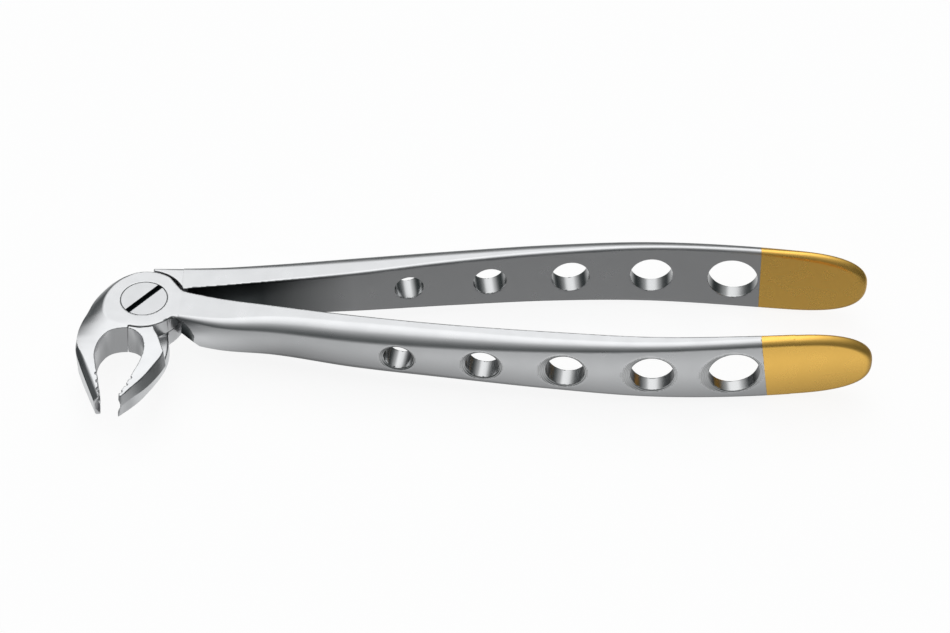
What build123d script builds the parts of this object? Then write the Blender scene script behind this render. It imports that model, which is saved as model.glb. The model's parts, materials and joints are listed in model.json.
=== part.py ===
"""Dental extraction forceps: two forged halves, a slotted joint screw and two plated grip ends.

Frame: the origin is where the pivot axis meets the back face of the joint. +Z runs along the pivot
axis towards the slotted screw head, +X along the handles, and the beaks point to -Y. All in mm.
The rest pose is the closed one, with the beak roots against each other.
"""
import os
from math import atan, cos, degrees, radians, sin

from build123d import *

# ---- joint -------------------------------------------------------------------------------------
joint_thickness = 8.0
mid_height = joint_thickness / 2
disc_radius = 8.6
seam_gap = 0.35
pocket_radius = disc_radius + seam_gap
lap_gap = 0.06
overcut = 1.0
lap_low = mid_height - lap_gap / 2
lap_high = mid_height + lap_gap / 2

# ---- joint screw -------------------------------------------------------------------------------
head_radius = 5.15
head_depth = 1.8
shank_radius = 3.2
thread_radius = 2.6
running_clearance = 0.06
slot_width = 1.15
slot_depth = 0.9
slot_angle = 48.0

# ---- handles -----------------------------------------------------------------------------------
inner_edge_radius = 0.5
crown = 0.8
plating_thickness = 0.15

# Each station: x, height of the flat inner face, edge thickness, width along Z, outer corner radius.
upper_stations = [
    (1.2, 2.4, 7.1, 8.0, 0.6),
    (16.7, 4.0, 6.4, 9.3, 1.4),
    (28.5, 5.4, 6.5, 10.7, 2.6),
    (46.0, 7.4, 6.5, 12.2, 4.2),
    (67.0, 10.1, 5.7, 13.2, 3.8),
    (90.0, 12.6, 4.8, 14.3, 2.4),
    (112.0, 13.9, 3.8, 15.7, 1.5),
    (134.5, 12.8, 3.1, 17.2, 1.4),
    (146.0, 11.7, 2.7, 17.8, 1.5),
    (163.0, 9.8, 2.1, 18.0, 1.4),
]
lower_stations = [
    (6.0, -3.2, 8.2, 8.0, 0.6),
    (16.7, 0.1, 7.2, 9.3, 1.4),
    (28.5, 2.6, 6.5, 10.7, 2.6),
    (46.0, 5.9, 6.4, 12.2, 4.2),
    (67.0, 8.9, 5.7, 13.2, 3.8),
    (90.0, 11.4, 4.8, 14.3, 2.4),
    (112.0, 13.2, 3.8, 15.7, 1.5),
    (134.5, 12.7, 3.0, 17.0, 1.4),
    (146.0, 11.8, 2.6, 17.2, 1.5),
    (163.0, 10.5, 2.0, 17.2, 1.4),
]

# The rounded end is half an ellipse: where it ends in x, its length, and its half width.
upper_end = (160.9, 16.4, 8.9)
lower_end = (160.1, 17.5, 8.6)

# The plating's edge: its x at mid-width, and how far it leans towards the joint at the screw side.
upper_plating_edge = (136.9, 0.2)
lower_plating_edge = (136.6, 1.1)

# ---- grip holes, small to large towards the handle's end ---------------------------------------
hole_radii = [3.25, 3.75, 4.3, 4.8, 5.6]
upper_hole_x = [58.3, 76.3, 94.4, 112.6, 130.8]
lower_hole_x = [57.4, 75.6, 93.6, 112.2, 129.8]
countersink_widths = [0.9, 1.05, 1.25, 1.6, 1.7]
countersink_depth = 0.55
drill_reach = 12.0

# ---- beaks -------------------------------------------------------------------------------------
beak_taper_start_y = -9.5
beak_tip_y = -29.5
beak_tip_half_thickness = 2.5
gutter_radius = 5.5
gutter_depth = 0.6
gutter_length = 11.0
tooth_radius = 0.35
tooth_depth = 0.25
tooth_pitch = 1.45
tooth_count = 5

mid_plane = Plane.XY.offset(mid_height)
front_plane = Plane.XY.offset(joint_thickness)
lap_low_plane = Plane.XY.offset(lap_low)
lap_high_plane = Plane.XY.offset(lap_high)


def on_circle(radius, angle):
    """The point at that angle, in degrees, on a circle about the pivot."""
    return (radius * cos(radians(angle)), radius * sin(radians(angle)))


def handle_section(station, outward, inset):
    """A flat-backed, crowned section across a handle, shrunk all round by inset."""
    x, inner_y, thickness, width, corner = station
    near = outward * (inner_y + inset)
    far = outward * (inner_y + thickness - inset)
    top = outward * (inner_y + thickness + crown - inset)
    low = mid_height - width / 2 + inset
    high = mid_height + width / 2 - inset
    outer_group, inner_group = (-1, 0) if outward > 0 else (0, -1)
    with BuildSketch(Plane.YZ.offset(x)) as section:
        with BuildLine():
            Polyline((far, low), (near, low), (near, high), (far, high))
            ThreePointArc((far, high), (top, mid_height), (far, low))
        make_face()
        fillet(section.vertices().group_by(Axis.X)[outer_group], corner)
        fillet(section.vertices().group_by(Axis.X)[inner_group], inner_edge_radius)
    return section.sketch


def handle(stations, outward, end, inset=0.0):
    """A whole handle with its rounded end, but no holes."""
    end_x, end_length, half_width = end
    with BuildPart() as body:
        for station in stations:
            add(handle_section(station, outward, inset))
        loft()
        with BuildSketch(Plane.XZ) as end_shape:
            with BuildLine():
                straight_end_x = end_x - end_length
                low = mid_height - half_width + inset
                high = mid_height + half_width - inset
                Polyline((straight_end_x, high), (0, high), (0, low), (straight_end_x, low))
                EllipticalCenterArc(
                    (straight_end_x, mid_height),
                    end_length - inset,
                    half_width - inset,
                    start_angle=-90,
                    arc_size=180,
                )
            make_face()
        extrude(amount=30, both=True, mode=Mode.INTERSECT)
    return body.part


def inner_face_at(stations, outward, x):
    """Height and slope of a handle's flat inner face at x."""
    spans = zip(stations, stations[1:])
    first, last = next(span for span in spans if span[0][0] <= x <= span[1][0])
    slope = (last[1] - first[1]) / (last[0] - first[0])
    return outward * (first[1] + slope * (x - first[0])), outward * slope


def outer_face_at(stations, outward, x):
    """Height of the crest of a handle's crowned outer face at x."""
    spans = zip(stations, stations[1:])
    first, last = next(span for span in spans if span[0][0] <= x <= span[1][0])
    share = (x - first[0]) / (last[0] - first[0])
    heights = [inner_y + thickness + crown for _, inner_y, thickness, _, _ in (first, last)]
    return outward * (heights[0] + share * (heights[1] - heights[0]))


def hole_plane(stations, outward, x):
    """The plane of a grip hole's mouth, on the crest of the outer face and square to the inner face.

    x is where the hole's axis meets the inner face.
    """
    inner_y, slope = inner_face_at(stations, outward, x)
    depth = abs(outer_face_at(stations, outward, x) - inner_y)
    normal = Vector(-slope, 1, 0).normalized() * outward
    return Plane(origin=Vector(x, inner_y, mid_height) + normal * depth, x_dir=(0, 0, 1), z_dir=normal)


def drill_grip_holes(stations, outward, hole_x):
    """Countersunk holes, drilled from the outer face of the handle in the active part."""
    for x, radius, rim in zip(hole_x, hole_radii, countersink_widths):
        mouth = hole_plane(stations, outward, x)
        with Locations(mouth):
            CounterSinkHole(
                radius,
                radius + rim,
                depth=drill_reach,
                counter_sink_angle=2 * degrees(atan(rim / countersink_depth)),
            )


def plating_edge_plane(edge):
    """The plane that ends the plating, facing the handle's end."""
    x, lean = edge
    return Plane(origin=(x, 0, mid_height), x_dir=(0, 1, 0), z_dir=(mid_height * 2, 0, lean))


def plating(stations, outward, end, edge):
    """The plated skin over a grip end."""
    with BuildPart() as skin:
        add(handle(stations, outward, end))
        split(bisect_by=plating_edge_plane(edge), keep=Keep.TOP)
        add(handle(stations, outward, end, inset=plating_thickness), mode=Mode.SUBTRACT)
    return skin.part


def plated_handle(stations, outward, end, edge):
    """A handle whose end is thinner by the plating that covers it."""
    with BuildPart() as body:
        add(handle(stations, outward, end))
        split(bisect_by=plating_edge_plane(edge), keep=Keep.BOTTOM)
        with BuildPart(mode=Mode.PRIVATE) as core:
            add(handle(stations, outward, end, inset=plating_thickness))
            split(bisect_by=plating_edge_plane(edge), keep=Keep.TOP)
        add(core.part)
    return body.part


def beak(inner, outer_front, outer_middle, outer_back):
    """A beak lofted from its ridge outline, at mid-height, to its front and back faces, then tapered."""
    levels = [(Plane.XY, outer_back), (mid_plane, outer_middle), (front_plane, outer_front)]
    with BuildPart() as body:
        for pair in (levels[:2], levels[1:]):
            for plane, outer in pair:
                with BuildSketch(plane):
                    with BuildLine():
                        outer_edge = Spline(*outer)
                        inner_edge = Spline(*inner)
                        Line(outer_edge @ 1, inner_edge @ 0)
                        Line(inner_edge @ 1, outer_edge @ 0)
                    make_face()
            loft(ruled=True)
        taper_run = beak_taper_start_y - beak_tip_y
        taper = (mid_height - beak_tip_half_thickness) / taper_run
        beyond = 5.0
        end_y = beak_tip_y - beyond
        end_half = mid_height - taper * (taper_run + beyond)
        with BuildSketch(Plane.YZ):
            for side in (-1, 1):
                start = (beak_taper_start_y, mid_height + side * mid_height)
                outside = mid_height + side * (mid_height + overcut)
                with BuildLine():
                    Polyline(
                        start,
                        (end_y, mid_height + side * end_half),
                        (end_y, outside),
                        (beak_taper_start_y, outside),
                        start,
                    )
                make_face()
        extrude(amount=30, both=True, mode=Mode.SUBTRACT)
    return body.part


def hollow_and_serrate(tip, root, inward):
    """A gutter that deepens towards the tip, and grooves across it, in the active part's beak.

    tip and root are points on the beak's inner edge; inward is +1 where the gap is on the +X side.
    """
    tip, root = Vector(*tip), Vector(*root)
    along = (tip - root).normalized()
    across = along.cross(Vector(0, 0, 1)) * -inward
    level = Vector(0, 0, mid_height)
    deep_end = tip + across * (gutter_radius - gutter_depth) + level
    shallow_end = tip - along * gutter_length + across * gutter_radius + level
    axis = (deep_end - shallow_end).normalized()
    with BuildSketch(Plane(origin=deep_end + axis * 2, z_dir=-axis)) as gutter:
        Circle(gutter_radius)
    extrude(gutter.sketch, amount=gutter_length + 2, mode=Mode.SUBTRACT)
    grooves = [
        tip - along * tooth_pitch * (0.7 + number) + across * (tooth_radius - tooth_depth) + level
        for number in range(tooth_count)
    ]
    with Locations(*grooves):
        Cylinder(tooth_radius, joint_thickness, mode=Mode.SUBTRACT)


# Outlines run from the joint to the tip on the outside, and back to the joint on the inside.
left_inner = [
    (-6.9, -28.6), (-7.5, -24.0), (-8.5, -19.6), (-9.2, -16.0), (-8.6, -12.6), (-6.9, -10.1),
    (-4.6, -9.2), (-3.4, -9.1),
]
left_outer_face = [
    (-2.0, 8.35), (-5.8, 7.0), (-8.4, 4.2), (-9.9, 0.0), (-11.0, -4.5), (-12.3, -9.5),
    (-13.0, -13.4), (-11.0, -19.0), (-8.2, -25.4), (-7.1, -28.5),
]
left_outer_ridge = [
    (-2.0, 8.35), (-6.8, 7.0), (-10.4, 4.4), (-12.4, 1.0), (-13.8, -3.0), (-14.6, -8.4),
    (-14.1, -13.0), (-12.5, -18.8), (-9.5, -25.0), (-7.6, -28.9),
]
right_inner = [
    (-2.9, -29.4), (-1.3, -25.4), (-0.4, -21.8), (1.1, -17.5), (1.4, -14.5), (0.5, -11.4),
    (-1.3, -9.6), (-3.1, -8.9),
]
right_outer_front = [
    (3.0, -6.6), (3.4, -9.0), (4.3, -11.5), (5.2, -14.0), (5.6, -15.8), (4.2, -19.0), (2.0, -22.7),
    (-0.3, -25.7), (-2.6, -28.9),
]
right_outer_ridge = [
    (4.4, -6.6), (4.9, -9.0), (5.6, -11.5), (6.2, -14.4), (6.2, -17.0), (4.7, -21.0), (2.3, -24.8),
    (-0.1, -27.4), (-2.9, -30.0),
]
right_outer_back = [
    (5.4, -6.6), (5.9, -8.2), (6.0, -11.0), (5.8, -13.5), (5.4, -16.0), (4.3, -19.5), (2.3, -23.2),
    (-0.2, -26.9), (-2.9, -29.8),
]


with BuildPart() as front_half:
    add(plated_handle(lower_stations, -1, lower_end, lower_plating_edge))
    drill_grip_holes(lower_stations, -1, lower_hole_x)
    # The relief at the root of the handle, where the other half's beak root swings past.
    with Locations((6.2, -8.4, 3.2)):
        Sphere(5.2, mode=Mode.SUBTRACT)
    # The back corner of the root is ground off at an angle.
    with BuildSketch(Plane(origin=(9.0, -6.3, 3.0), x_dir=(1, 0, -1), z_dir=(-0.57, -0.61, -0.55))):
        Rectangle(20, 20)
    extrude(amount=10, mode=Mode.SUBTRACT)
    # The disc has a flat on its rim, which leaves a wedge of clearance at the other handle's root.
    with BuildSketch(lap_high_plane):
        Circle(disc_radius)
        flat_start = on_circle(disc_radius, 53)
        flat_end = on_circle(disc_radius, 19)
        with BuildLine():
            Polyline(flat_start, on_circle(disc_radius + 2, 36), flat_end, flat_start)
        make_face(mode=Mode.SUBTRACT)
    extrude(amount=joint_thickness - lap_high)
    add(beak(left_inner, left_outer_face, left_outer_ridge, left_outer_face))
    hollow_and_serrate(left_inner[0], left_inner[2], inward=1)
    # The pocket for the other half's disc, open at the top so that the handles can part.
    with BuildSketch(Plane.XY.offset(-overcut)):
        Circle(pocket_radius)
        with BuildLine():
            Polyline((0, 0), on_circle(18, 148), (-12, 14), (4, 14), (0, 0))
        make_face()
    extrude(amount=lap_high + overcut, mode=Mode.SUBTRACT)
    with Locations(front_plane):
        CounterBoreHole(shank_radius + running_clearance, head_radius + running_clearance, head_depth)
front_half.part.label = "front_half"

with BuildPart() as back_half:
    add(plated_handle(upper_stations, 1, upper_end, upper_plating_edge))
    drill_grip_holes(upper_stations, 1, upper_hole_x)
    add(beak(right_inner, right_outer_front, right_outer_ridge, right_outer_back))
    hollow_and_serrate(right_inner[0], right_inner[2], inward=-1)
    with BuildSketch(lap_low_plane):
        Circle(pocket_radius)
    extrude(amount=joint_thickness, mode=Mode.SUBTRACT)
    with BuildSketch():
        Circle(disc_radius)
    extrude(amount=lap_low)
    with Locations(lap_low_plane):
        Hole(thread_radius)
back_half.part.label = "back_half"

with BuildPart() as joint_screw:
    with BuildSketch():
        Circle(thread_radius)
    extrude(amount=lap_low)
    with BuildSketch(lap_low_plane):
        Circle(shank_radius)
    extrude(amount=joint_thickness - head_depth + running_clearance - lap_low)
    with BuildSketch(Plane.XY.offset(joint_thickness - head_depth + running_clearance)):
        Circle(head_radius)
    extrude(amount=head_depth - running_clearance)
    with BuildSketch(front_plane):
        Rectangle(2 * head_radius + 1, slot_width, rotation=slot_angle)
    extrude(amount=-slot_depth, mode=Mode.SUBTRACT)
joint_screw.part.label = "joint_screw"

with BuildPart() as upper_grip_plating:
    add(plating(upper_stations, 1, upper_end, upper_plating_edge))
upper_grip_plating.part.label = "upper_grip_plating"

with BuildPart() as lower_grip_plating:
    add(plating(lower_stations, -1, lower_end, lower_plating_edge))
lower_grip_plating.part.label = "lower_grip_plating"

os.makedirs("parts", exist_ok=True)
for finished in (front_half, back_half, joint_screw, upper_grip_plating, lower_grip_plating):
    export_step(finished.part, f"parts/{finished.part.label}.step")
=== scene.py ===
"""Dental extraction forceps: the visual model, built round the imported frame.

Every visible piece is a fine mesh, worked out in millimetres from a field: a function that is
negative inside the piece, zero on its surface and positive outside. Fields are joined, cut and
rounded as solids are, and skin() turns one into a mesh.
"""
import json
from math import cos, hypot, pi, radians, sin

import bpy
import numpy as np
from mathutils import Matrix, Vector


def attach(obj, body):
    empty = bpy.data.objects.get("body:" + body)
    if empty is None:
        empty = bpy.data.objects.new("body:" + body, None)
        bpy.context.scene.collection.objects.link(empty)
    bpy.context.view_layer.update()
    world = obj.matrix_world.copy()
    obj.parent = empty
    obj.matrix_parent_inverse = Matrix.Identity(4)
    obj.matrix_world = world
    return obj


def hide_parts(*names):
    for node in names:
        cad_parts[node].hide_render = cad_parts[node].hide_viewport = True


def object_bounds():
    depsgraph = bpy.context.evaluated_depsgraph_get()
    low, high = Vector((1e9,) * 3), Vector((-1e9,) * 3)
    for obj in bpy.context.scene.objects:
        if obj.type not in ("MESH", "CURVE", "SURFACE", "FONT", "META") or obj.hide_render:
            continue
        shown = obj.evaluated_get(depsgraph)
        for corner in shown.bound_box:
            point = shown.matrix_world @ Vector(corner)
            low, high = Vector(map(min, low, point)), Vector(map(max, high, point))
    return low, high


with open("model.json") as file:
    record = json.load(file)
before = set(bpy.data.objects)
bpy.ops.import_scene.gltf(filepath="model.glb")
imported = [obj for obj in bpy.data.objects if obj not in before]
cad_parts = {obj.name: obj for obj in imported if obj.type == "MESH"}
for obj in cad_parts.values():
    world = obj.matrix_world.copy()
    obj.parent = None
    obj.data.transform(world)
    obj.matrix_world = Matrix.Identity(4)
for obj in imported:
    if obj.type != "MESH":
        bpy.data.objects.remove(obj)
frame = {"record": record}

cad_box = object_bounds()

MM = 0.001
FAR = 50.0

# ---- joint, in millimetres: z runs from the back face at 0 to the front face ----------------------
THICKNESS = 8.0
MID = THICKNESS / 2
DISC_RADIUS = 8.6
POCKET_RADIUS = 8.95
LAP_LOW = MID - 0.03
LAP_HIGH = MID + 0.03
EDGE_BREAK = 0.14
FINE_EDGE = 0.05
SHARP_EDGE = 0.01
HOLE_EDGE = 0.1
JOIN_FILLET = 0.5
JOINT_REACH = 16.0
BEAK_REACH = 8.0

# ---- joint screw ---------------------------------------------------------------------------------
HEAD_RADIUS = 5.15
HEAD_DEPTH = 1.8
SHANK_RADIUS = 3.2
THREAD_RADIUS = 2.6
CLEARANCE = 0.06
SLOT_WIDTH = 1.25
SLOT_DEPTH = 1.3
SLOT_ANGLE = 50.5
SLOT_EDGE = 0.12
OVERLAP = 0.5

# ---- handles: x, height of the flat inner face, edge thickness, width, outer corner radius --------
CROWN = 0.8
UPPER_STATIONS = [
    (1.2, 2.4, 7.1, 8.0, 0.3),
    (16.7, 3.75, 6.4, 9.2, 1.4),
    (28.5, 4.8, 6.4, 10.5, 2.2),
    (46.0, 6.8, 6.4, 12.0, 3.0),
    (67.0, 9.9, 5.1, 13.9, 3.0),
    (90.0, 12.65, 4.25, 15.4, 3.0),
    (112.0, 14.0, 3.5, 16.8, 2.8),
    (134.5, 12.9, 2.9, 17.7, 2.3),
    (146.0, 11.7, 2.6, 17.8, 1.9),
    (163.0, 9.8, 2.1, 17.8, 1.5),
]
LOWER_STATIONS = [
    (6.0, -3.2, 8.2, 8.0, 0.3),
    (16.7, 0.1, 7.7, 9.3, 1.4),
    (28.5, 2.65, 6.05, 10.8, 2.4),
    (46.0, 6.1, 5.4, 12.6, 3.0),
    (67.0, 9.05, 4.8, 13.5, 2.8),
    (90.0, 11.5, 4.3, 14.7, 2.1),
    (112.0, 13.35, 3.3, 16.2, 1.5),
    (134.5, 12.85, 2.6, 17.3, 1.4),
    (146.0, 11.9, 2.4, 17.4, 1.5),
    (163.0, 10.5, 2.0, 17.3, 1.4),
]

# How far the inner face's edges are rounded, along x.
UPPER_EDGE = [
    (1.0, 0.2), (8.0, 0.25), (30.0, 0.5), (90.0, 0.8), (130.0, 0.9), (142.0, 1.3), (150.0, 1.9),
    (161.0, 2.3),
]
LOWER_EDGE = [(1.0, 0.2), (8.0, 0.25), (30.0, 0.5), (130.0, 0.55), (144.0, 0.9), (161.0, 1.15)]

# The rounded end: where it ends in x, its length, and its half width. Its outline is an oval with this
# exponent, where 2 is an ellipse and more is blunter.
BLUNT = 2.5
UPPER_END = (160.9, 16.4, 8.9)
LOWER_END = (160.1, 17.5, 8.6)

# The plating's edge: its x at mid-width, and its lean towards the joint per millimetre of z.
UPPER_PLATING = (136.9, 0.025)
LOWER_PLATING = (136.6, 0.1375)
PLATING_THICKNESS = 0.15

# ---- grip holes ----------------------------------------------------------------------------------
HOLE_RADII = [3.25, 3.75, 4.3, 4.8, 5.6]
UPPER_HOLES = [58.3, 76.3, 94.4, 112.6, 130.8]
LOWER_HOLES = [57.4, 75.6, 93.6, 112.2, 129.8]
RIMS = [0.9, 1.05, 1.25, 1.6, 1.7]
RIM_DEPTH = 0.55
RING_PITCH = 0.36

# Painted shade that darkens the steel between the handles: where it starts and ends, over what length it
# fades out, and its greatest share.
CROTCH_START = 9.5
CROTCH_END = 46.0
CROTCH_LENGTH = 21.0
CROTCH_SHARE = 0.96

# ---- beaks ---------------------------------------------------------------------------------------
TAPER_START = -9.5
TAPER_EASE = 3.0
TIP_Y = -29.5
TIP_HALF = 2.5
BEVEL_DEPTH = 1.2
WALL_LEAN = 0.12
LEAN_START = -14.5
LEAN_LENGTH = 4.0
GUTTER_RADIUS = 2.4
GUTTER_DEPTH = 0.95
GUTTER_LENGTH = 11.0
TOOTH_RADIUS = 0.38
TOOTH_DEPTH = 0.42
TOOTH_PITCH = 2.15
TOOTH_START = 1.05
TOOTH_COUNT = 3
SEAM_X = -2.9
SEAM_LEAN = 0.08
SEAM_GAP = 0.05
BEAK_ROOT = 6.4
BEAK_EDGE = 0.2
GROOVE_EDGE = 0.08
CREASE_ROUNDING = 0.25
LEDGE_X = 3.4
LEDGE_SLOPE = 0.2
LEDGE_EDGE = 0.3

# ---- the cut between the front half's disc and its handle: a ball, and a plane ground across --------
SCOOP_CENTRE = (6.2, -8.4, 3.2)
SCOOP_RADIUS = 5.2
GROUND = ((9.0, -6.3, 3.0), (0.57, 0.61, 0.55))
CUT_START = 5.8
CUT_EDGE = 0.15


# ---- fields --------------------------------------------------------------------------------------
def through(points):
    """A smooth function through (x, value) points, straight beyond the first and the last."""
    xs, values = np.array(points, float).T
    slopes = np.gradient(values, xs)

    def value(x):
        i = np.clip(np.searchsorted(xs, x) - 1, 0, len(xs) - 2)
        run = xs[i + 1] - xs[i]
        t = np.clip((x - xs[i]) / run, 0, 1)
        rise = (
            values[i] * (1 + 2 * t) * (1 - t) ** 2
            + values[i + 1] * t**2 * (3 - 2 * t)
            + run * t * (1 - t) * (slopes[i] * (1 - t) - slopes[i + 1] * t)
        )
        return rise + slopes[0] * np.minimum(x - xs[0], 0) + slopes[-1] * np.maximum(x - xs[-1], 0)

    return value


def unit(vectors):
    """The same directions with a length of one."""
    return vectors / np.maximum(np.linalg.norm(vectors, axis=-1, keepdims=True), 1e-9)


def eased(share):
    """A share from 0 to 1 that leaves 0 and reaches 1 gently."""
    return share * share * (3 - 2 * share)


def both(a, b, radius=EDGE_BREAK):
    """What is inside two fields, with the edge between them rounded."""
    return np.minimum(-radius, np.maximum(a, b)) + np.hypot(
        np.maximum(a + radius, 0), np.maximum(b + radius, 0)
    )


def either(a, b, radius=EDGE_BREAK):
    """What is inside one field or the other, with a fillet of that radius between them."""
    return -both(-a, -b, radius)


def less(a, b, radius=EDGE_BREAK):
    """What is inside the first field and outside the second."""
    return both(a, -b, radius)


class Outline:
    """A smooth open curve through points in the XY plane. Its inside is on its right."""

    step = 0.2
    low = (-18.0, -33.0)
    high = (17.0, 12.0)

    def __init__(self, points, finer=16):
        points = np.array(points, float)
        along = np.concatenate([[0], np.cumsum(np.hypot(*np.diff(points, axis=0).T))])
        fine = np.linspace(0, along[-1], finer * (len(points) - 1) + 1)
        curve = np.stack([through(np.c_[along, points[:, axis]])(fine) for axis in (0, 1)], 1)
        first = curve[0] + unit(curve[0] - curve[1]) * FAR
        last = curve[-1] + unit(curve[-1] - curve[-2]) * FAR
        self.starts = np.vstack([first, curve])
        self.runs = np.diff(np.vstack([self.starts, last]), axis=0)
        lines = [np.arange(a, b + self.step, self.step) for a, b in zip(self.low, self.high)]
        self.table = np.stack([self.exact(x, lines[1]) for x in lines[0]])

    def exact(self, x, y):
        """Distance from the curve, positive on its left, for one x and several y."""
        dx = x - self.starts[:, 0]
        dy = y[:, None] - self.starts[:, 1]
        rx, ry = self.runs.T
        share = np.clip((dx * rx + dy * ry) / (rx**2 + ry**2), 0, 1)
        gap = (dx - share * rx) ** 2 + (dy - share * ry) ** 2
        nearest = gap.argmin(1)
        rows = np.arange(len(y))
        side = rx[nearest] * dy[rows, nearest] - ry[nearest] * dx[nearest]
        return np.sqrt(gap[rows, nearest]) * np.where(side > 0, 1, -1)

    def distance(self, x, y):
        """The same distance for many points, smoothly between the table's."""
        result = 0
        corners, weights = [], []
        for value, low, count in zip((x, y), self.low, self.table.shape):
            place = np.clip((value - low) / self.step, 1, count - 2.001)
            corner = place.astype(int)
            t = place - corner
            corners.append(corner)
            weights.append((
                (-t + 2 * t**2 - t**3) / 2,
                (2 - 5 * t**2 + 3 * t**3) / 2,
                (t + 4 * t**2 - 3 * t**3) / 2,
                (t**3 - t**2) / 2,
            ))
        for i, weight_x in enumerate(weights[0]):
            for j, weight_y in enumerate(weights[1]):
                result = result + weight_x * weight_y * self.table[corners[0] + i - 1, corners[1] + j - 1]
        return result


class Handle:
    """One handle: a flat-backed, crowned bar with a rounded end and countersunk holes."""

    def __init__(self, stations, edge, outward, end, holes):
        self.outward = outward
        self.end = end
        columns = list(zip(*stations))
        tables = [through(list(zip(columns[0], column))) for column in columns[1:]]
        self.inner, self.thickness, self.width, self.corner = tables
        self.edge = through(edge)
        self.start = columns[0][0]
        self.holes = [self.hole(*hole) for hole in zip(holes, HOLE_RADII, RIMS)]

    def hole(self, x, radius, rim):
        """Where a hole's axis meets the inner face, its direction, its radii and its depth."""
        slope = float(self.inner(x + 0.5) - self.inner(x - 0.5))
        axis = np.array([-slope, 1.0]) / hypot(slope, 1)
        return np.array([x, float(self.inner(x))]), axis, radius, rim, float(self.thickness(x)) + CROWN

    def bar(self, x, y, z, joined=None, taper=None):
        """The handle without its holes, with what is joined to it at the joint.

        joined is a field that has no faces along z yet, and taper the half height that it is cut to.
        """
        w = z - MID
        u = self.outward * y - self.inner(x)
        at = np.maximum(x, self.start)
        half, thickness = self.width(at) / 2, self.thickness(at)
        end_x, length, half_width = self.end
        ahead = np.maximum(x - (end_x - length), 0) / length
        across = np.abs(w) / half_width
        reach = ((ahead**BLUNT + across**BLUNT) ** (1 / BLUNT)).clip(0.05)
        steepness = np.hypot(ahead ** (BLUNT - 1) / length, across ** (BLUNT - 1) / half_width).clip(1e-4)
        oval = (reach - 1) * reach ** (BLUNT - 1) / steepness
        level = half if taper is None else np.where(x < BEAK_REACH, np.minimum(half, taper), half)
        side = np.where(ahead > 0, oval, np.abs(w) - level)
        top = u - thickness - CROWN * (1 - (w / half) ** 2)
        edge, corner = self.edge(at), self.corner(at)
        handle = both(both(-u, side, edge), top, corner)
        if joined is None:
            return handle
        root = either(both(both(top, -u), self.start - x), joined, JOIN_FILLET)
        rise = ((u - 0.6) / (0.3 * thickness)).clip(0, 1)
        return np.where(x < JOINT_REACH, both(root, side, edge + (corner - edge) * eased(rise)), handle)

    def bores(self, x, y, z):
        """The five holes with their countersinks."""
        result = np.full(len(x), FAR)
        for start, axis, radius, rim, depth in self.holes:
            near = np.abs(x - start[0]) < radius + 4
            dx, dy = x[near] - start[0], self.outward * y[near] - start[1]
            along = dx * axis[0] + dy * axis[1]
            aside = dx * axis[1] - dy * axis[0]
            out = np.hypot(aside, z[near] - MID)
            mouth = radius + rim - (depth - along) * rim / RIM_DEPTH
            cone = (out - mouth) * RIM_DEPTH / hypot(rim, RIM_DEPTH)
            result[near] = np.minimum(result[near], np.minimum(out - radius, cone))
        return result


upper = Handle(UPPER_STATIONS, UPPER_EDGE, 1, UPPER_END, UPPER_HOLES)
lower = Handle(LOWER_STATIONS, LOWER_EDGE, -1, LOWER_END, LOWER_HOLES)


def plating_side(edge, x, z):
    """How far a point is beyond the plating's edge, on the plated side."""
    start, lean = edge
    return (x - start + lean * (z - MID)) / hypot(1, lean)


def steel(handle, edge, x, y, z, joined, taper):
    """A half's steel: its handle, thinner by the plating where that covers it, and what joins it."""
    bar = handle.bar(x, y, z, joined, taper)
    covered = plating_side(edge, x, z) > 0
    return less(np.where(covered, bar + PLATING_THICKNESS, bar), handle.bores(x, y, z))


# Outlines run from the joint to the tip, with the steel on their right.
LEFT_INNER = Outline([
    (-3.4, -9.1), (-4.6, -9.2), (-6.9, -10.1), (-8.6, -12.6), (-9.2, -16.0), (-8.5, -19.6),
    (-7.5, -24.0), (-6.9, -28.6),
])
LEFT_UPPER = [
    (-13.9, -10.0), (-13.55, -7.0), (-12.6, -2.5), (-11.3, 1.9), (-9.2, 5.1), (-6.4, 6.9), (-2.0, 8.4),
]
LEFT_FACE = Outline([
    (-7.0, -28.5), (-8.0, -26.1), (-9.2, -23.1), (-10.55, -19.9), (-11.85, -16.7), (-12.85, -14.4),
    (-13.6, -12.2), *LEFT_UPPER,
])
LEFT_WALL = Outline([
    (-8.25, -28.5), (-9.35, -25.9), (-10.9, -22.2), (-12.25, -18.8), (-13.5, -15.1), (-13.85, -12.6),
    *LEFT_UPPER,
])
CREASE = Outline([
    (-3.0, -8.3), (-5.2, -7.6), (-7.1, -6.5), (-8.35, -4.7), (-8.8, -2.1), (-8.55, 0.8), (-7.6, 3.4),
    (-5.9, 5.8), (-3.0, 8.1),
])
RIGHT_INNER = Outline([
    (-3.5, -29.2), (-1.6, -25.4), (-0.3, -21.8), (1.1, -17.5), (1.4, -14.5), (0.5, -11.4), (-1.3, -9.6),
    (-3.36, -8.9),
])
RIGHT_WALL_FRONT = Outline([(3.0, -6.6), (3.06, -9.0), (4.2, -11.3), (5.2, -14.0), (5.8, -15.5)])
RIGHT_WALL_BACK = Outline([(5.6, -6.6), (5.9, -8.2), (6.1, -10.8), (5.95, -13.2), (5.5, -15.5)])
RIGHT_FACE = Outline([
    (5.8, -15.5), (5.2, -17.2), (4.15, -19.0), (1.96, -22.7), (-0.3, -25.7), (-2.6, -28.9),
])
RIGHT_RIDGE = Outline([
    (6.4, -16.2), (5.2, -19.1), (4.1, -21.2), (1.9, -24.4), (-0.4, -26.8), (-2.9, -30.0),
])
RIGHT_BACK = Outline([(5.5, -14.9), (4.75, -17.0), (2.6, -21.7), (0.0, -26.7), (-2.9, -30.0)])

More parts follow.
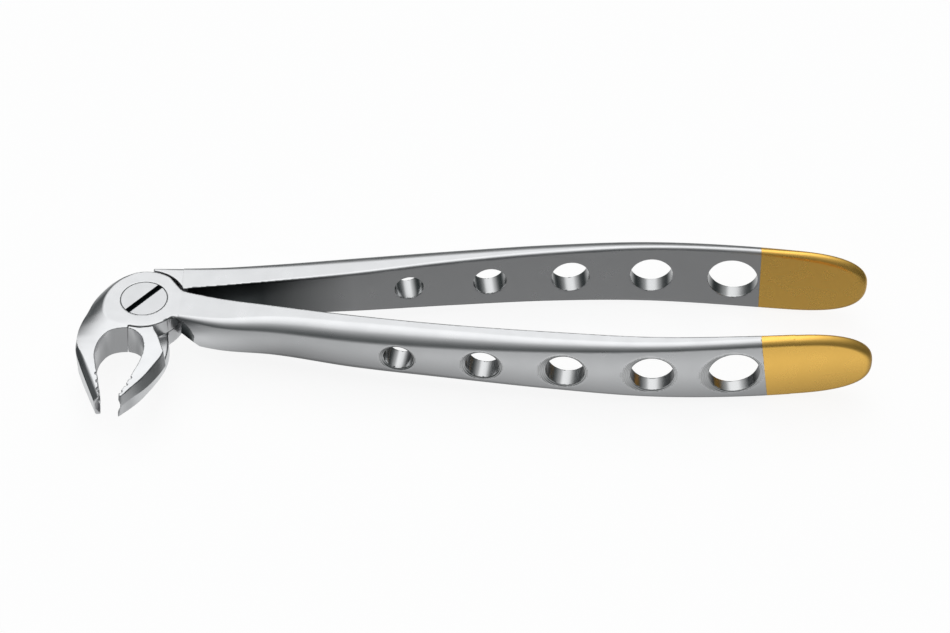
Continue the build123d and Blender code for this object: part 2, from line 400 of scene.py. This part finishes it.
# A tip's end plane: a point on it and the direction that it faces.
LEFT_TIP = ((-7.0, -28.5, 6.5), (0.1, -0.985, 0.14))
RIGHT_TIP = ((-2.15, -28.35, 6.6), (-0.13, -0.94, 0.31))

# Where a gutter runs on its inner face: a point at the tip, and one towards the joint.
LEFT_GUTTER = ((-6.9, -28.6), (-8.5, -19.6))
RIGHT_GUTTER = ((-2.9, -29.4), (-0.4, -21.8))

# The front face's fall beyond the crease: y, its slope there, and how fast the slope grows.
SHOULDER = [
    (-21.0, 0.0, 0.0), (-19.0, 0.0, 0.0001), (-17.0, 0.0, 0.0006), (-15.0, 0.0, 0.0018),
    (-13.0, 0.0, 0.0044), (-11.0, 0.01, 0.009), (-9.0, 0.04, 0.017), (-7.0, 0.11, 0.025),
    (-5.0, 0.25, 0.03), (-3.0, 0.42, 0.04), (0.0, 0.6, 0.05), (4.5, 0.8, 0.1),
]
SHOULDER_SLOPE = through([(y, slope) for y, slope, _ in SHOULDER])
SHOULDER_BEND = through([(y, bend) for y, _, bend in SHOULDER])


def beyond_line(line, x, y):
    """Distance from a line through two points, positive on its right."""
    (ax, ay), (bx, by) = line
    return ((x - ax) * (by - ay) - (y - ay) * (bx - ax)) / hypot(bx - ax, by - ay)


def half_height(y):
    """Half the thickness of a beak at that y, with its taper setting in gently."""
    taper = (MID - TIP_HALF) / (TAPER_START - TIP_Y)
    beyond = TAPER_START - y
    gentle = (beyond + TAPER_EASE).clip(0, 2 * TAPER_EASE) ** 2 / (4 * TAPER_EASE)
    return MID - taper * np.where(beyond > TAPER_EASE, beyond, gentle)


def beyond_plane(plane, x, y, z):
    """Distance from a plane, positive where it faces."""
    (px, py, pz), (nx, ny, nz) = plane
    return ((x - px) * nx + (y - py) * ny + (z - pz) * nz) / hypot(nx, ny, nz)


def hollow(tip, root, inward, x, y, z):
    """What a beak's gutter and its cross grooves take away.

    tip and root are points on its inner face, and inward is the distance inside that face.
    """
    tip, root = np.array(tip), np.array(root)
    along = (tip - root) / np.hypot(*(tip - root))
    back = (tip[0] - x) * along[0] + (tip[1] - y) * along[1]
    depth = GUTTER_DEPTH * np.clip(1 - back / GUTTER_LENGTH, 0, 1.2)
    gutter = both(np.hypot(inward + GUTTER_RADIUS - depth, z - MID) - GUTTER_RADIUS, back - GUTTER_LENGTH)
    number = np.clip(np.round(back / TOOTH_PITCH - TOOTH_START), 0, TOOTH_COUNT - 1)
    groove_back = back - (number + TOOTH_START) * TOOTH_PITCH
    groove = np.hypot(groove_back, inward + TOOTH_RADIUS - TOOTH_DEPTH) - TOOTH_RADIUS
    return np.minimum(gutter, groove)


def bevelled(face, ridge, share):
    """The side between a face's outline and the ridge's, as a distance."""
    return (face * share + ridge * (1 - share)) / np.hypot(1, (ridge - face) / MID)


def seam(x, z):
    """How far a point is to the right of the plane where the two beaks meet."""
    return x - SEAM_X - SEAM_LEAN * (z - MID)


def left_beak(x, y, z):
    """The sides of the front half's beak: a wall, leaning in by the joint, with a flat bevel in front."""
    lean = WALL_LEAN * np.clip((y - LEAN_START) / LEAN_LENGTH, 0, 1) * (MID - z)
    wall, face = LEFT_WALL.distance(x, y) - lean, LEFT_FACE.distance(x, y) - lean
    width = np.maximum(face - wall, 0)
    bevel = (face * BEVEL_DEPTH + (z - MID - half_height(y)) * width) / np.hypot(BEVEL_DEPTH, width)
    inner = LEFT_INNER.distance(x, y)
    body = both(both(wall, bevel), inner, BEAK_EDGE)
    body = both(body, beyond_plane(LEFT_TIP, x, y, z), BEAK_EDGE)
    body = both(body, seam(x, z) + SEAM_GAP, FINE_EDGE)
    return less(body, hollow(*LEFT_GUTTER, -inner, x, y, z), GROOVE_EDGE)


def right_beak(x, y, z):
    """The sides of the back half's beak: a ledge by the joint, and facets that meet in a ridge."""
    share = np.clip(np.abs(z - MID) / MID, 0, 1)
    fall = (z - LAP_LOW + LEDGE_SLOPE * np.maximum(x - LEDGE_X, 0)) / hypot(1, LEDGE_SLOPE)
    ledge = both(RIGHT_WALL_BACK.distance(x, y), fall, LEDGE_EDGE)
    wall = either(RIGHT_WALL_FRONT.distance(x, y), ledge, BEAK_EDGE)
    face = np.where(z > MID, RIGHT_FACE.distance(x, y), RIGHT_BACK.distance(x, y))
    facets = bevelled(face, RIGHT_RIDGE.distance(x, y), share)
    inner = RIGHT_INNER.distance(x, y)
    body = both(both(wall, facets, BEAK_EDGE), inner, BEAK_EDGE)
    body = both(body, beyond_plane(RIGHT_TIP, x, y, z), BEAK_EDGE)
    body = both(body, both(y + BEAK_ROOT, SEAM_GAP - seam(x, z)), FINE_EDGE)
    return less(body, hollow(*RIGHT_GUTTER, -inner, x, y, z), GROOVE_EDGE)


def shoulder(x, y, z):
    """The front face where it falls away outside the crease round the disc."""
    out = CREASE.distance(x, y)
    within = np.clip(y, SHOULDER[0][0], SHOULDER[-1][0])
    slope, bend = SHOULDER_SLOPE(within), SHOULDER_BEND(within)
    beyond = np.maximum(out, 0)
    fall = slope * out + bend * beyond**2
    return (z - MID - half_height(y) + fall) / np.hypot(1, slope + 2 * bend * beyond)


def near_joint(field, x, y, z):
    """A field that is left far away beyond the joint and the beaks."""
    result = np.full(len(x), FAR)
    near = x < JOINT_REACH
    result[near] = field(x[near], y[near], z[near])
    return result


def polar(radius, angle):
    """The point at that angle, in degrees, on a circle about the pivot."""
    return (radius * cos(radians(angle)), radius * sin(radians(angle)))


# The flat on the front disc's rim, and the two sides of the pocket that the back disc turns in.
FLAT = (polar(DISC_RADIUS, 19), polar(DISC_RADIUS, 53))
POCKET_SIDES = ((0, 0), polar(18, 148)), ((0, 0), (4, 14))


def front_joint(x, y, z):
    """The front half's disc, with the flat on its rim, and its beak."""
    disc = both(np.hypot(x, y) - DISC_RADIUS, beyond_line(FLAT, x, y))
    return either(disc, left_beak(x, y, z), JOIN_FILLET)


def back_joint(x, y, z):
    """The back half's disc and its beak."""
    return either(np.hypot(x, y) - DISC_RADIUS, right_beak(x, y, z), JOIN_FILLET)


def scoop(x, y, z):
    """The ball-shaped cut in the front half between its disc and its handle."""
    cx, cy, cz = SCOOP_CENTRE
    return np.sqrt((x - cx) ** 2 + (y - cy) ** 2 + (z - cz) ** 2) - SCOOP_RADIUS


def front_half(x, y, z):
    """The half with the left beak and the lower handle, whose disc is in front."""
    joined = near_joint(front_joint, x, y, z)
    body = steel(lower, LOWER_PLATING, x, y, z, joined, half_height(y))
    left = x < 0
    fall = shoulder(x[left], y[left], z[left])
    body[left] = both(body[left], fall, CREASE_ROUNDING * SHOULDER_SLOPE(y[left]).clip(0.05, 1))
    radius = np.hypot(x, y)
    cut = np.minimum(scoop(x, y, z), beyond_plane(GROUND, x, y, z))
    cut = np.maximum(cut, np.maximum(CUT_START - x, DISC_RADIUS - radius))
    body = less(body, cut, CUT_EDGE)
    first, last = (beyond_line(side, x, y) for side in POCKET_SIDES)
    pocket = np.minimum(radius - POCKET_RADIUS, np.maximum(-first, last))
    body = less(body, both(pocket, z - LAP_HIGH, SHARP_EDGE))
    counterbore = both(radius - HEAD_RADIUS - CLEARANCE, THICKNESS - HEAD_DEPTH - z, SHARP_EDGE)
    return less(body, np.minimum(radius - SHANK_RADIUS - CLEARANCE, counterbore), HOLE_EDGE)


def back_half(x, y, z):
    """The half with the right beak and the upper handle, whose disc is behind."""
    joined = near_joint(back_joint, x, y, z)
    body = steel(upper, UPPER_PLATING, x, y, z, joined, half_height(y))
    radius = np.hypot(x, y)
    body = less(body, both(radius - POCKET_RADIUS, LAP_LOW - z, SHARP_EDGE))
    return less(body, radius - THREAD_RADIUS, HOLE_EDGE)


def joint_screw(x, y, z):
    """The screw: a slotted head, the shank that the front half turns on, and its threaded end."""
    radius = np.hypot(x, y)
    head_back = THICKNESS - HEAD_DEPTH + CLEARANCE
    head = both(radius - HEAD_RADIUS, both(z - THICKNESS, head_back - z))
    shank = both(radius - SHANK_RADIUS, both(z - head_back - OVERLAP, LAP_LOW - z))
    end = both(radius - THREAD_RADIUS, both(z - LAP_LOW - OVERLAP, -z))
    turn = radians(SLOT_ANGLE)
    across = np.abs(y * cos(turn) - x * sin(turn)) - SLOT_WIDTH / 2
    slot = both(across, THICKNESS - SLOT_DEPTH - z, FINE_EDGE)
    return less(np.minimum(np.minimum(head, shank), end), slot, SLOT_EDGE)


# ---- meshes --------------------------------------------------------------------------------------
def spaced(*spans):
    """Grid lines: each span is (where it starts, where it ends, how far apart its lines are)."""
    finer = 1.0
    lines = [np.linspace(a, b, round((b - a) / step * finer) + 1)[:-1] for a, b, step in spans]
    return np.concatenate([*lines, [spans[-1][1]]])


def near_surface(field, axes, stride=6):
    """Which grid nodes may be near the surface, from a coarse look at the field."""
    picked = [np.unique(np.append(np.arange(0, len(lines), stride), len(lines) - 1)) for lines in axes]
    coarse = [lines[index] for lines, index in zip(axes, picked)]
    middles = [(lines[1:] + lines[:-1]) / 2 for lines in coarse]
    widths = np.meshgrid(*[np.diff(lines) for lines in coarse], indexing="ij")
    points = np.meshgrid(*middles, indexing="ij")
    values = field(*[p.ravel() for p in points]).reshape(points[0].shape)
    # Half a block's diagonal, and some more because a field isn't an exact distance.
    reach = 0.62 * np.sqrt(sum(w**2 for w in widths)) + 0.3
    mask = np.zeros([len(lines) for lines in axes], bool)
    for i, j, k in np.argwhere(np.abs(values) < reach) * stride:
        mask[i:i + stride + 1, j:j + stride + 1, k:k + stride + 1] = True
    return mask


def gradient(field, points, step=0.01):
    """The field's gradient at points."""
    result = np.empty_like(points)
    for axis in range(3):
        shift = np.zeros(3)
        shift[axis] = step
        result[:, axis] = field(*(points + shift).T) - field(*(points - shift).T)
    return result / (2 * step)


def settle(field, points, most=0.08):
    """Points moved onto the surface, along the field's gradient."""
    for _ in range(2):
        slope = gradient(field, points)
        move = field(*points.T)[:, None] * slope / np.maximum((slope**2).sum(1, keepdims=True), 0.25)
        points = points - move.clip(-most, most)
    return points


def skin(field, axes, hold=0.02):
    """Dual contouring: the field's surface as (vertices, quads), with its sharp edges kept.

    hold is how strongly a vertex is drawn to the middle of its cell's crossings.
    """
    mask = near_surface(field, axes)
    shape = mask.shape
    values = np.full(shape, np.nan)
    nodes = np.nonzero(mask)
    values[nodes] = field(*[lines[index] for lines, index in zip(axes, nodes)])
    cell_shape = np.array(shape) - 1
    ends, quads_of = [], []
    for axis in range(3):
        low = [slice(None)] * 3
        high = [slice(None)] * 3
        low[axis], high[axis] = slice(None, -1), slice(1, None)
        a, b = values[tuple(low)], values[tuple(high)]
        crossing = np.argwhere(((a < 0) & (b >= 0)) | ((a >= 0) & (b < 0)))
        first, second = (axis + 1) % 3, (axis + 2) % 3
        inside = (crossing[:, first] > 0) & (crossing[:, second] > 0)
        inside &= (crossing[:, first] < cell_shape[first]) & (crossing[:, second] < cell_shape[second])
        crossing = crossing[inside]
        start = np.stack([axes[d][crossing[:, d]] for d in range(3)], 1)
        beyond = crossing.copy()
        beyond[:, axis] += 1
        end = np.stack([axes[d][beyond[:, d]] for d in range(3)], 1)
        value_a, value_b = values[tuple(crossing.T)], values[tuple(beyond.T)]
        ends.append((start, end, value_a, value_b))
        around = []
        for d1, d2 in ((0, 0), (-1, 0), (-1, -1), (0, -1)):
            cell = crossing.copy()
            cell[:, first] += d1
            cell[:, second] += d2
            around.append(np.ravel_multi_index(cell.T, cell_shape))
        around = np.stack(around, 1)
        around[value_a >= 0] = around[value_a >= 0][:, ::-1]
        quads_of.append(around)
    start, end = (np.concatenate([part[i] for part in ends]) for i in (0, 1))
    value_a, value_b = (np.concatenate([part[i] for part in ends]) for i in (2, 3))
    for _ in range(4):
        share = (value_a / (value_a - value_b)).clip(0.02, 0.98)[:, None]
        middle = start + share * (end - start)
        value = field(*middle.T)
        same = (value < 0) == (value_a < 0)
        start, value_a = np.where(same[:, None], middle, start), np.where(same, value, value_a)
        end, value_b = np.where(same[:, None], end, middle), np.where(same, value_b, value)
    share = (value_a / (value_a - value_b))[:, None]
    hits = start + share * (end - start)
    normals = unit(gradient(field, hits))
    quads = np.concatenate(quads_of)
    cells, index = np.unique(quads, return_inverse=True)
    index = index.reshape(quads.shape)
    count = np.bincount(index.ravel(), minlength=len(cells)).astype(float)

    def total(weights):
        return np.bincount(index.ravel(), np.repeat(weights, 4), minlength=len(cells))

    centre = np.stack([total(hits[:, d]) for d in range(3)], 1) / count[:, None]
    matrix = np.empty((len(cells), 3, 3))
    for i in range(3):
        for j in range(3):
            matrix[:, i, j] = total(normals[:, i] * normals[:, j])
    offset = (normals * hits).sum(1)
    right = np.stack([total(normals[:, d] * offset) for d in range(3)], 1)
    right -= np.einsum("nij,nj->ni", matrix, centre)
    matrix += np.eye(3) * (hold * count)[:, None, None]
    shift = np.linalg.solve(matrix, right[..., None])[..., 0]
    corner = np.stack(np.unravel_index(cells, cell_shape), 1)
    low = np.stack([axes[d][corner[:, d]] for d in range(3)], 1)
    high = np.stack([axes[d][corner[:, d] + 1] for d in range(3)], 1)
    return settle(field, np.clip(centre + shift, low, high)), index


def piece(name, vertices, faces, normals, materials):
    """A Blender mesh object from millimetres, with a normal for each corner of each face."""
    mesh = bpy.data.meshes.new(name)
    mesh.from_pydata((vertices * MM).tolist(), [], faces.tolist())
    for material in materials:
        mesh.materials.append(material)
    mesh.shade_smooth()
    mesh.normals_split_custom_set(normals.reshape(-1, 3).tolist())
    made = bpy.data.objects.new(name, mesh)
    bpy.context.collection.objects.link(made)
    return made


def corner_normals(field, vertices, faces, sharp=25.0):
    """The field's normal at each vertex, or the face's own where an edge is sharp."""
    smooth = unit(gradient(field, vertices, 0.02))[faces]
    a, b, c, d = (vertices[faces[:, i]] for i in range(4))
    flat = unit(np.cross(c - a, d - b))[:, None]
    turned = (smooth * flat).sum(2) < cos(radians(sharp))
    return np.where(turned[..., None], flat, smooth)


def solid_piece(name, field, axes, materials, second, attributes=()):
    """The whole surface of a field as a piece. Faces where second is true have the second material."""
    vertices, faces = skin(field, axes)
    made = piece(name, vertices, faces, corner_normals(field, vertices, faces), materials)
    for key, function in attributes:
        made.data.attributes.new(key, "FLOAT", "POINT").data.foreach_set("value", function(*vertices.T))
    chosen = second(*vertices[faces].mean(1).T)
    made.data.polygons.foreach_set("material_index", chosen.astype(np.int32))
    return made


def in_slot(x, y, z):
    """Whether points on the screw's surface are inside its slot."""
    turn = radians(SLOT_ANGLE)
    across = np.abs(y * cos(turn) - x * sin(turn))
    return (across < SLOT_WIDTH / 2 + 0.02) & (z < THICKNESS - 0.15) & (z > THICKNESS - SLOT_DEPTH - 0.1)


def in_bores(handle):
    """A test for points that are on the walls of a handle's holes."""
    return lambda x, y, z: np.abs(handle.bores(x, y, z)) < 0.05


def from_hole(handle):
    """The distance from the nearest hole's axis, in millimetres."""
    def distance(x, y, z):
        result = np.full(len(x), 0.0)
        for start, axis, radius, rim, _ in handle.holes:
            aside = (x - start[0]) * axis[1] - (handle.outward * y - start[1]) * axis[0]
            out = np.hypot(aside, z - MID)
            result = np.where(out < radius + rim + 1, out, result)
        return result

    return distance


def shaded(handle, cut=None):
    """How much painted shade darkens the steel: between the handles near the joint, and in the cut at the
    root.
    """
    def share(x, y, z):
        on_inner = np.abs(handle.outward * y - handle.inner(x)) < 0.2
        fading = ((CROTCH_END - x) / CROTCH_LENGTH).clip(0, CROTCH_SHARE)
        between = np.where(on_inner & (x > CROTCH_START), fading, 0)
        if cut is None:
            return between
        in_cut = (np.abs(cut(x, y, z)) < 0.1) & (x > 5) & (y < -3)
        return np.maximum(between, in_cut)

    return share


def shell_piece(name, handle, edge, materials):
    """The plating over a grip end: its outer surface, thickened inwards and closed round its edge."""
    start, lean = edge

    def sheared(s, y, z):
        return handle.bar(s + start - lean * (z - MID), y, z)

    y_low, y_high = (-18.0, -9.0) if handle.outward < 0 else (8.0, 18.5)
    axes = spaced((0, 7, 0.5), (7, 25, 0.3)), spaced((y_low, y_high, 0.25)), spaced((-6, 14, 0.3))
    vertices, faces = skin(sheared, axes)
    edges = np.concatenate([faces[:, [i, (i + 1) % 4]] for i in range(4)])
    _, where, count = np.unique(np.sort(edges, 1), axis=0, return_index=True, return_counts=True)
    rim = edges[where[count == 1]]
    loop = np.unique(rim)
    vertices[loop, 0] = 0
    vertices[loop] = settle(sheared, vertices[loop])
    vertices[loop, 0] = 0
    normals = unit(gradient(sheared, vertices, 0.02))
    normals[loop, 0] = 0
    inner = vertices - unit(normals) * PLATING_THICKNESS
    number = len(vertices)
    bridge = np.stack([rim[:, 1], rim[:, 0], rim[:, 0] + number, rim[:, 1] + number], 1)
    every = np.vstack([vertices, inner])
    every[:, 0] += start - lean * (every[:, 2] - MID)
    all_faces = np.vstack([faces, faces[:, ::-1] + number, bridge])
    outer_normals = corner_normals(sheared, vertices, faces)
    facing = np.broadcast_to([-1.0, 0.0, 0.0], (len(bridge), 4, 3))
    all_normals = np.concatenate([outer_normals, -outer_normals[:, ::-1], facing])
    return piece(name, every, all_faces, all_normals, materials)


# ---- materials -----------------------------------------------------------------------------------
# Features per millimetre of the uneven gloss and of the grain, the gloss's spread, and bumps' depths.
GLOSS_SCALE = 0.25
GRAIN_SCALE = 2.5
UNEVEN = 0.03
GRAIN_DEPTH = 0.005
RING_DEPTH = 0.015


def new_material(name, colour, roughness):
    """A metal with a Principled shader, and its node tree."""
    material = bpy.data.materials.new(name)
    material.use_nodes = True
    shader = material.node_tree.nodes["Principled BSDF"]
    shader.inputs["Base Color"].default_value = (*colour, 1)
    shader.inputs["Metallic"].default_value = 1.0
    shader.inputs["Roughness"].default_value = roughness
    return material, shader


def linked(tree, kind, inputs=(), operation=None):
    """A new node with its first inputs given as sockets or numbers."""
    node = tree.nodes.new(kind)
    if operation:
        node.operation = operation
    for number, source in enumerate(inputs):
        if isinstance(source, bpy.types.NodeSocket):
            tree.links.new(source, node.inputs[number])
        else:
            node.inputs[number].default_value = source
    return node


def times(tree, a, b):
    """The product of two sockets or numbers."""
    return linked(tree, "ShaderNodeMath", [a, b], "MULTIPLY").outputs["Value"]


def noise(tree, scale):
    """Noise in the object's own metres, with so many features per millimetre."""
    place = tree.nodes.new("ShaderNodeTexCoord")
    mapping = tree.nodes.new("ShaderNodeMapping")
    mapping.inputs["Scale"].default_value = [scale / MM] * 3
    tree.links.new(place.outputs["Object"], mapping.inputs["Vector"])
    texture = tree.nodes.new("ShaderNodeTexNoise")
    texture.inputs["Scale"].default_value = 1.0
    texture.inputs["Detail"].default_value = 3.0
    tree.links.new(mapping.outputs["Vector"], texture.inputs["Vector"])
    return texture.outputs["Fac"]


def ranged(tree, source, low, high):
    """A noise value, which is mostly from 0.3 to 0.7, spread between low and high."""
    return linked(tree, "ShaderNodeMapRange", [source, 0.3, 0.7, low, high]).outputs["Result"]


def bump(tree, height, depth_mm, shader):
    """Bump of that depth from a height between 0 and 1."""
    node = tree.nodes.new("ShaderNodeBump")
    node.inputs["Strength"].default_value = 1.0
    node.inputs["Distance"].default_value = depth_mm * MM
    tree.links.new(height, node.inputs["Height"])
    tree.links.new(node.outputs["Normal"], shader.inputs["Normal"])


def satin_metal(name, colour, roughness):
    """A bead-blasted or satin-plated metal: fine grain, and slightly uneven gloss."""
    material, shader = new_material(name, colour, roughness)
    tree = material.node_tree
    gloss = ranged(tree, noise(tree, GLOSS_SCALE), roughness - UNEVEN, roughness + UNEVEN)
    tree.links.new(gloss, shader.inputs["Roughness"])
    bump(tree, noise(tree, GRAIN_SCALE), GRAIN_DEPTH, shader)
    return material


def attribute(tree, name):
    """A number stored at the mesh's points."""
    node = tree.nodes.new("ShaderNodeAttribute")
    node.attribute_name = name
    return node.outputs["Fac"]


def darkened(material, name, colour, dark):
    """The material with its colour going to a dark one by an attribute."""
    tree = material.node_tree
    mix = tree.nodes.new("ShaderNodeMix")
    mix.data_type = "RGBA"
    mix.inputs["A"].default_value = (*colour, 1)
    mix.inputs["B"].default_value = (*dark, 1)
    tree.links.new(attribute(tree, name), mix.inputs["Factor"])
    tree.links.new(mix.outputs["Result"], tree.nodes["Principled BSDF"].inputs["Base Color"])
    return material


def turned_metal(name, colour, roughness):
    """Steel as a cutter leaves it in a hole: smooth, with fine rings round the hole's axis."""
    material, shader = new_material(name, colour, roughness)
    tree = material.node_tree
    angle = times(tree, attribute(tree, "out_of_hole"), 2 * pi / RING_PITCH)
    wave = linked(tree, "ShaderNodeMath", [angle], "SINE")
    bump(tree, wave.outputs["Value"], RING_DEPTH, shader)
    return material


STEEL = (0.60, 0.605, 0.615)
# Painted shade: the colour the steel is darkened to between the handles and in the cut at the root.
PAINTED_SHADE_COLOUR = (0.05, 0.058, 0.06)
satin_steel = darkened(satin_metal("satin_steel", STEEL, 0.30), "shaded", STEEL, PAINTED_SHADE_COLOUR)
bore_steel = turned_metal("turned_bore_steel", (0.52, 0.525, 0.53), 0.2)
screw_steel = satin_metal("screw_steel", (0.57, 0.575, 0.585), 0.30)
# Painted shade: the screw's slot is coloured near-black in place of the shade that falls in it.
slot_shade_steel = satin_metal("painted_shade_slot_steel", (0.05, 0.065, 0.07), 0.6)
gold = satin_metal("satin_gold", (1.0, 0.60, 0.13), 0.28)
gold.node_tree.nodes["Principled BSDF"].inputs["Metallic"].default_value = 0.8

# ---- the pieces ----------------------------------------------------------------------------------
hole_spans = [
    (28, 52, 0.6), (52, 64, 0.3), (64, 71, 0.6), (71, 82, 0.3), (82, 88, 0.6), (88, 101, 0.3),
    (101, 106, 0.6), (106, 119, 0.3), (119, 123, 0.6), (123, 138, 0.3), (138, 163, 0.8),
]
half_axes = (
    spaced((-16, 13, 0.22), (13, 28, 0.4), *hole_spans),
    spaced((-31, 19.6, 0.22)),
    spaced((-6, -0.4, 0.35), (-0.4, 8.4, 0.22), (8.4, 14, 0.35)),
)
screw_axes = spaced((-5.5, 5.5, 0.12)), spaced((-5.5, 5.5, 0.12)), spaced((-0.3, 8.3, 0.12))

steels = [satin_steel, bore_steel]
front_attributes = [("out_of_hole", from_hole(lower)), ("shaded", shaded(lower, scoop))]
back_attributes = [("out_of_hole", from_hole(upper)), ("shaded", shaded(upper))]
front = solid_piece("front_half_forging", front_half, half_axes, steels, in_bores(lower), front_attributes)
back = solid_piece("back_half_forging", back_half, half_axes, steels, in_bores(upper), back_attributes)
screw = solid_piece("slotted_joint_screw", joint_screw, screw_axes, [screw_steel, slot_shade_steel], in_slot)
upper_gold = shell_piece("upper_gold_grip_end", upper, UPPER_PLATING, [gold])
lower_gold = shell_piece("lower_gold_grip_end", lower, LOWER_PLATING, [gold])

for made, body, node, slot in (
    (front, "front", "front_half", "satin_steel"),
    (back, "back", "back_half", "satin_steel"),
    (screw, "back", "joint_screw", "screw_steel"),
    (upper_gold, "back", "upper_grip_plating", "gold_plating"),
    (lower_gold, "front", "lower_grip_plating", "gold_plating"),
):
    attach(made, body)
    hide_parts(node)

# ---- floor, light and camera ---------------------------------------------------------------------
FLOOR_HALF = 3.0
FLOOR_GAP = 0.0005


def ramp(tree, source, stops):
    """A smooth grey ramp through (position, value) stops."""
    node = linked(tree, "ShaderNodeValToRGB", [source])
    node.color_ramp.interpolation = "EASE"
    while len(node.color_ramp.elements) < len(stops):
        node.color_ramp.elements.new(0.5)
    for stop, (position, value) in zip(node.color_ramp.elements, stops):
        stop.position = position
        stop.color = (value, value, value, 1)
    return node.outputs["Color"]


def make_floor():
    """A wide pale floor just under the forceps.

    It leaves the metal's reflections to the studio's light, but darkens them between the handles and
    between the beaks, where the real forceps shade what they lie on.
    """
    z = cad_box[0][2] - FLOOR_GAP
    corners = [(x * FLOOR_HALF, y * FLOOR_HALF, z) for x, y in ((-1, -1), (1, -1), (1, 1), (-1, 1))]
    mesh = bpy.data.meshes.new("floor")
    mesh.from_pydata(corners, [], [(0, 1, 2, 3)])
    material = bpy.data.materials.new("floor")
    material.use_nodes = True
    tree = material.node_tree
    pale = tree.nodes["Principled BSDF"]
    pale.inputs["Base Color"].default_value = (0.15, 0.15, 0.15, 1)
    pale.inputs["Roughness"].default_value = 1.0
    pale.inputs["Specular IOR Level"].default_value = 0.0
    pale.inputs["Emission Color"].default_value = (1, 1, 1, 1)
    pale.inputs["Emission Strength"].default_value = FLOOR_GLOW
    place = tree.nodes.new("ShaderNodeTexCoord")
    apart = linked(tree, "ShaderNodeSeparateXYZ", [place.outputs["Object"]])
    passed = 1.0
    for level, spans in SHADES:
        under = 1 - level
        for axis, start, end in spans:
            ends = [start * MM, end * MM, 0.0, 1.0]
            share = linked(tree, "ShaderNodeMapRange", [apart.outputs[axis], *ends])
            under = times(tree, under, share.outputs["Result"])
        left = linked(tree, "ShaderNodeMath", [1.0, under], "SUBTRACT").outputs["Value"]
        passed = times(tree, passed, left)
    clear = linked(tree, "ShaderNodeBsdfTransparent", [passed])
    path = tree.nodes.new("ShaderNodeLightPath")
    surfaces = [pale.outputs["BSDF"], clear.outputs["BSDF"]]
    seen = linked(tree, "ShaderNodeMixShader", [path.outputs["Is Glossy Ray"], *surfaces])
    tree.links.new(seen.outputs["Shader"], tree.nodes["Material Output"].inputs["Surface"])
    mesh.materials.append(material)
    floor = bpy.data.objects.new("floor", mesh)
    bpy.context.collection.objects.link(floor)


def make_world():
    """A softbox over and behind the forceps, a dark studio all round, and a lit table below."""
    world = bpy.data.worlds.new("studio")
    bpy.context.scene.world = world
    world.use_nodes = True
    tree = world.node_tree
    place = tree.nodes.new("ShaderNodeTexCoord")
    apart = linked(tree, "ShaderNodeSeparateXYZ", [place.outputs["Generated"]])
    front = times(tree, apart.outputs["Y"], -1.0)
    turn = linked(tree, "ShaderNodeMath", [apart.outputs["Z"], front], "ARCTAN2")
    share = linked(tree, "ShaderNodeMapRange", [turn.outputs["Value"], 0.0, pi, 0.0, 1.0])
    sky = ramp(tree, share.outputs["Result"], [(angle / 180, value) for angle, value in SKY])
    sideways = linked(tree, "ShaderNodeMapRange", [apart.outputs["X"], -1.0, 1.0, 0.0, 1.0])
    width = ramp(tree, sideways.outputs["Result"], [((x + 1) / 2, value) for x, value in SKY_WIDTH])
    table = ramp(tree, times(tree, apart.outputs["Z"], -1.0), TABLE)
    spread = ramp(tree, sideways.outputs["Result"], [((x + 1) / 2, value) for x, value in TABLE_WIDTH])
    light = linked(tree, "ShaderNodeMath", [times(tree, sky, width), times(tree, table, spread)], "ADD")
    tinted = linked(tree, "ShaderNodeVectorMath", [light.outputs["Value"], COOL], "ADD")
    tree.links.new(tinted.outputs["Vector"], tree.nodes["Background"].inputs["Color"])


# What the metal sees: the sky from level in front (0 degrees) over the top to level behind (180), the
# table by how steep the look down is, and how much is left of each towards the sides (x of the direction).
SKY = [
    (0, 0.04), (14, 0.10), (32, 0.22), (55, 0.55), (76, 1.3), (100, 1.6), (133, 1.6), (146, 0.75),
    (158, 0.22), (180, 0.03),
]
SKY_WIDTH = [(-0.85, 0.08), (-0.5, 0.6), (-0.28, 1.0), (0.18, 1.0), (0.42, 0.4), (0.8, 0.08)]
TABLE = [(0.0, 0.03), (0.12, 0.08), (0.30, 0.32), (0.5, 0.65), (0.65, 0.88), (0.8, 0.88), (1.0, 0.55)]
TABLE_WIDTH = [(-0.9, 0.12), (-0.65, 1.0), (0.7, 1.0), (0.92, 0.2)]
COOL = (0.0, 0.008, 0.009)

# Where the forceps shade the table: how much light is left, and spans in millimetres over which the
# shade sets in, along x or y: between the handles, and between the beaks.
SHADES = [
    (0.30, [("Y", -30, -12), ("Y", 30, 12), ("X", 8, 30)]),
    (0.50, [("Y", -30, -25), ("Y", -5, -9), ("X", -13, -9), ("X", 6, 2)]),
]
FLOOR_GLOW = 0.885

make_floor()
make_world()
bpy.context.scene.view_settings.view_transform = "Standard"

TILT = radians(45)
TURN = radians(1.3)
CAMERA_DISTANCE = 0.633
PIVOT_LEFT, PIVOT_UP = 0.0732, 0.0012
toward = Vector((sin(TURN) * cos(TILT), -cos(TURN) * cos(TILT), sin(TILT)))
right = Vector((cos(TURN), sin(TURN), 0))
up = toward.cross(right)
pivot = Vector(frame["record"]["behaviour"]["joints"][0]["pos_m"])
camera_data = bpy.data.cameras.new("camera")
camera_data.lens = 108
camera_data.sensor_width = 36
camera = bpy.data.objects.new("camera", camera_data)
bpy.context.collection.objects.link(camera)
place_at = pivot + right * PIVOT_LEFT - up * PIVOT_UP + toward * CAMERA_DISTANCE
camera.matrix_world = Matrix.Translation(place_at) @ Matrix((right, up, toward)).transposed().to_4x4()
bpy.context.scene.camera = camera
bpy.context.view_layer.update()
